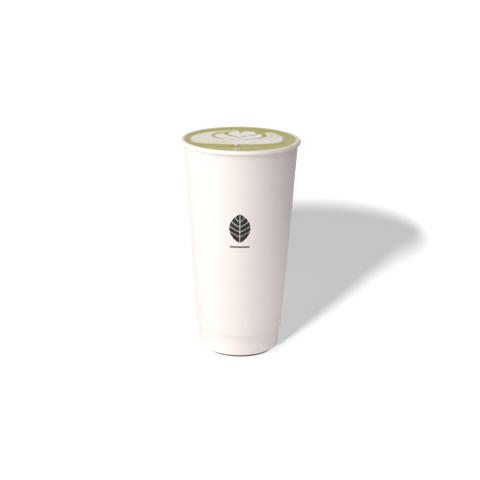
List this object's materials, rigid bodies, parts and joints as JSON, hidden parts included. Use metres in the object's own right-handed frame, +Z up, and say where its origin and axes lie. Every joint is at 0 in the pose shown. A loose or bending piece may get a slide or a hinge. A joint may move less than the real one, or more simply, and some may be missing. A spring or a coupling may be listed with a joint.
{
  "type": "matcha latte in a paper cup",
  "caption": "Tall double-walled paper takeaway cup with a rolled rim, filled to the brim with green matcha latte under a tulip of milk foam.",
  "frame": {"origin": "centre of the foot, on the surface that the cup stands on", "axes": "+Z up along the cup's axis; -Y is the front, towards which the foam drawing's stem points"},
  "size_m": [0.09, 0.09, 0.1625],
  "materials": {
    "cup_paper": "satin",
    "base_paper": "matte",
    "wall_paper": "matte",
    "matcha": "satin"
  },
  "bodies": {
    "root": {"inner_cup": "cup_paper", "base_disc": "base_paper", "outer_wall": "wall_paper", "drink": "matcha"}
  },
  "joints": []
}
